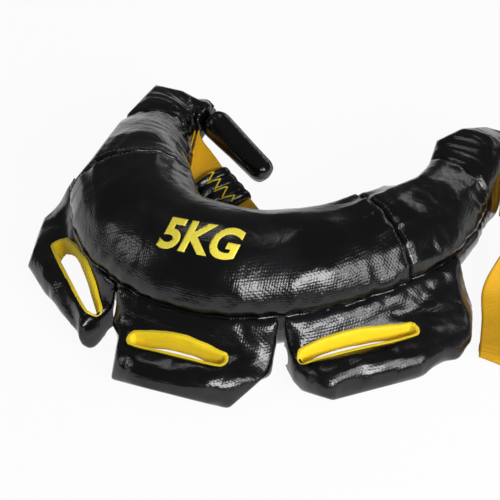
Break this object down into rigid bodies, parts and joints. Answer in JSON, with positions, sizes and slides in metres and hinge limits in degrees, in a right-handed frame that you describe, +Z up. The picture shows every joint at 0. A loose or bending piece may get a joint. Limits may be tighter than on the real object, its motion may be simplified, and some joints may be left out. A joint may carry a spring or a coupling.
{
  "type": "bulgarian bag",
  "caption": "Crescent-shaped weighted training bag with horn-end hand grips, slotted side handles on its outer edge and webbing loops.",
  "frame": {"origin": "middle of the footprint, on the floor that the bag lies on", "axes": "+Z up from the floor, -Y towards the outer edge with the side handles, +Y towards the open ends of the crescent, +X to the right hand of someone facing the outer edge"},
  "size_m": [0.5384, 0.4602, 0.1242],
  "materials": {
    "black_coated_fabric": "glossy coated polyester",
    "yellow_lining": "plain woven lining",
    "golden_webbing": "flat woven webbing",
    "grey_foam": "open foam",
    "ballast_liner": "plain woven liner, filled"
  },
  "bodies": {
    "bag": {"top_panel_centre": "black_coated_fabric", "top_panel_left": "black_coated_fabric", "top_panel_right": "black_coated_fabric", "underside_panel_centre": "black_coated_fabric", "underside_panel_left": "black_coated_fabric", "underside_panel_right": "black_coated_fabric", "fill_bag_centre": "ballast_liner", "fill_bag_left": "ballast_liner", "fill_bag_right": "ballast_liner", "left_end_hood": "black_coated_fabric", "right_end_hood": "black_coated_fabric"},
    "left_grip": {"left_grip_cover": "black_coated_fabric", "left_grip_core": "grey_foam"},
    "right_grip": {"right_grip_cover": "black_coated_fabric", "right_grip_core": "grey_foam"},
    "left_loop": {"left_strap": "golden_webbing", "left_strap_sleeve": "black_coated_fabric"},
    "right_loop": {"right_strap": "golden_webbing", "right_strap_sleeve": "black_coated_fabric"},
    "left_side_handle": {"left_side_handle_cover": "black_coated_fabric", "left_side_handle_core": "grey_foam", "left_side_handle_lining": "yellow_lining"},
    "centre_side_handle": {"centre_side_handle_cover": "black_coated_fabric", "centre_side_handle_core": "grey_foam", "centre_side_handle_lining": "yellow_lining"},
    "right_side_handle": {"right_side_handle_cover": "black_coated_fabric", "right_side_handle_core": "grey_foam", "right_side_handle_lining": "yellow_lining"}
  },
  "joints": [
    {"name": "left_side_handle_lift", "type": "hinge", "parent": "bag", "child": "left_side_handle", "pos_m": [-0.19837, -0.09911, 0.06468], "axis": [-0.6123, 0.7906, 0], "range_deg": [0, 60]},
    {"name": "centre_side_handle_lift", "type": "hinge", "parent": "bag", "child": "centre_side_handle", "pos_m": [-0.05235, -0.17018, 0.06512], "axis": [-1, -0.0043, 0], "range_deg": [0, 60]},
    {"name": "right_side_handle_lift", "type": "hinge", "parent": "bag", "child": "right_side_handle", "pos_m": [0.09631, -0.08913, 0.0625], "axis": [-0.6879, -0.7258, 0], "range_deg": [0, 60]},
    {"name": "left_grip_swing", "type": "hinge", "parent": "bag", "child": "left_grip", "pos_m": [-0.13821, 0.13692, 0.04862], "axis": [0, 0, 1], "range_deg": [-15, 60]},
    {"name": "right_grip_swing", "type": "hinge", "parent": "bag", "child": "right_grip", "pos_m": [0.1764, 0.18571, 0.05864], "axis": [0, 0, 1], "range_deg": [-40, 50]},
    {"name": "left_loop_lift", "type": "hinge", "parent": "bag", "child": "left_loop", "pos_m": [-0.15427, 0.10451, 0.0494], "axis": [0.2095, -0.9778, 0], "range_deg": [0, 20]},
    {"name": "right_loop_lift", "type": "hinge", "parent": "bag", "child": "right_loop", "pos_m": [0.16543, 0.12652, 0.07042], "axis": [0.1166, -0.9932, 0], "range_deg": [0, 20]}
  ]
}
